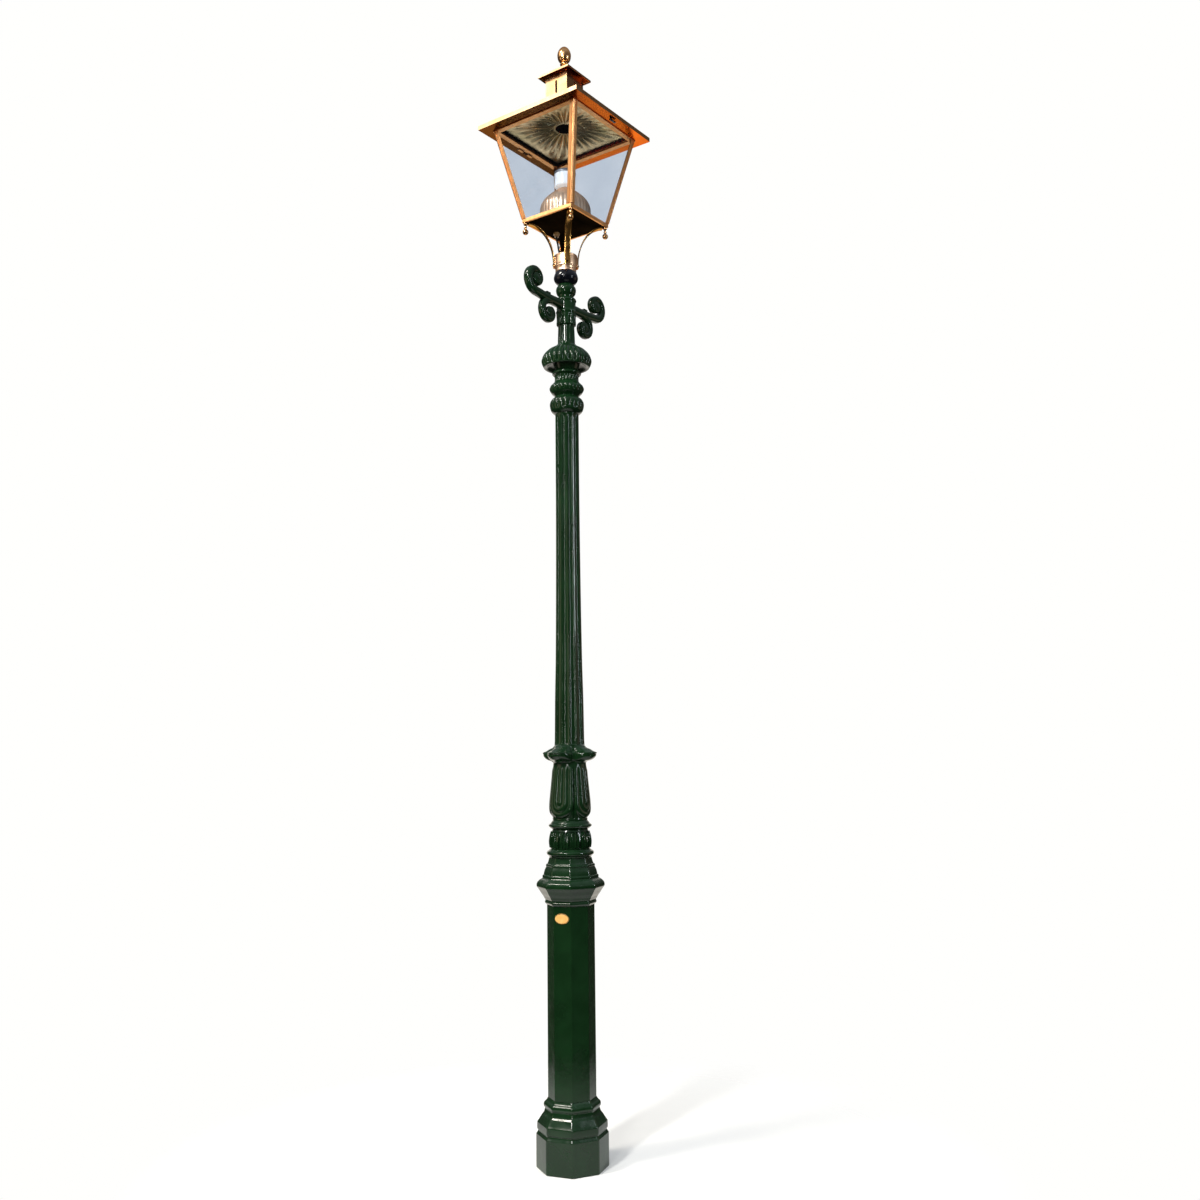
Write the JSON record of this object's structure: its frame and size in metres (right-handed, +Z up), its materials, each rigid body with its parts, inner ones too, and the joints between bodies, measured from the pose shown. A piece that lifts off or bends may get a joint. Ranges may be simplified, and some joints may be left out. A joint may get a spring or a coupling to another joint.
{
  "type": "street lamp post",
  "caption": "Cast street lamp post with an octagonal pedestal, fluted column, scroll ladder arms and a four-sided copper lantern with a hinged roof.",
  "frame": {"origin": "centre of the foot at ground level", "axes": "+Z up the post; -Y to the lantern's latch side, +Y to its roof hinge side; the ladder arms lie along -X and +X"},
  "size_m": [0.5252, 0.523, 4.598],
  "materials": {
    "green_paint": "glossy dark green paint over iron castings",
    "copper": "polished copper sheet and bar, lightly tarnished",
    "roof_copper": "copper sheet, lightly tarnished",
    "bronze": "satin bronze",
    "reflector": "pleated satin sheet with an olive tone",
    "steel": "zinc plated",
    "black_paint": "near-black gloss paint",
    "dark_sheet": "dark brown lacquered sheet",
    "board": "brown laminate board",
    "fuse_plastic": "grey moulded plastic",
    "toggle": "white moulded plastic",
    "ceramic": "glazed white porcelain",
    "opal": "opal white glass",
    "glass": "clear sheet",
    "cable": "black sheath",
    "label": "plain pale yellow enamel"
  },
  "bodies": {
    "post": {"base_flange": "steel", "plinth": "green_paint", "pedestal": "green_paint", "number_label": "label", "door_hinge_pin": "steel", "fuse_board": "board", "fuse_box": "fuse_plastic", "earth_stud": "steel", "cornice": "green_paint", "base_ring": "green_paint", "leaf_collar": "green_paint", "leaf_ring": "green_paint", "calyx": "green_paint", "fluted_shaft": "green_paint", "lower_neck_ring": "green_paint", "upper_neck_ring": "green_paint", "bell_capital": "green_paint", "upper_column": "green_paint", "collar_ring": "black_paint", "ladder_hub": "green_paint", "hub_screw": "steel", "ladder_arm_left": "green_paint", "ladder_arm_right": "green_paint", "lamp_cable": "cable", "spigot_cup": "copper", "lantern_leg_1": "copper", "lantern_leg_2": "copper", "lantern_leg_3": "copper", "lantern_leg_4": "copper", "bottom_frame": "copper", "floor_plate": "dark_sheet", "cable_gland": "ceramic", "top_frame": "copper", "roof_hinge_pin": "bronze", "gear_dome": "bronze", "control_gear": "fuse_plastic", "lamp_holder": "ceramic", "lamp": "opal", "corner_bar_1": "copper", "corner_bar_2": "copper", "corner_bar_3": "copper", "corner_bar_4": "copper", "corner_ball_1": "copper", "corner_ball_2": "copper", "corner_ball_3": "copper", "corner_ball_4": "copper", "glass_pane_1": "glass", "glass_pane_2": "glass", "glass_pane_3": "glass", "glass_pane_4": "glass"},
    "door": {"access_door": "green_paint"},
    "door_lock": {"door_lock": "steel"},
    "fuse_toggle": {"fuse_toggle": "toggle"},
    "lantern_roof": {"roof": "roof_copper", "reflector": "reflector", "vent_chimney": "copper", "vent_cap": "copper", "finial": "copper"},
    "roof_latch": {"roof_latch": "black_paint"}
  },
  "joints": [
    {"name": "access_door_hinge", "type": "hinge", "parent": "post", "child": "door", "pos_m": [0.02265, 0.09287, 0.56], "axis": [0, 0, 1], "range_deg": [0, 110]},
    {"name": "door_lock_turn", "type": "hinge", "parent": "door", "child": "door_lock", "pos_m": [0.0506, 0.07225, 0.62], "axis": [0.497, 0.8678, 0], "range_deg": [-90, 0]},
    {"name": "fuse_toggle_rock", "type": "hinge", "parent": "post", "child": "fuse_toggle", "pos_m": [0.00596, 0.01041, 0.605], "axis": [0.8678, -0.497, 0], "range_deg": [-50, 0]},
    {"name": "lantern_roof_hinge", "type": "hinge", "parent": "post", "child": "lantern_roof", "pos_m": [0, 0.224, 4.1835], "axis": [-1, 0, 0], "range_deg": [0, 75]},
    {"name": "roof_latch_turn", "type": "hinge", "parent": "lantern_roof", "child": "roof_latch", "pos_m": [0, -0.243, 4.18], "axis": [0, 0, 1], "range_deg": [0, 90]}
  ]
}
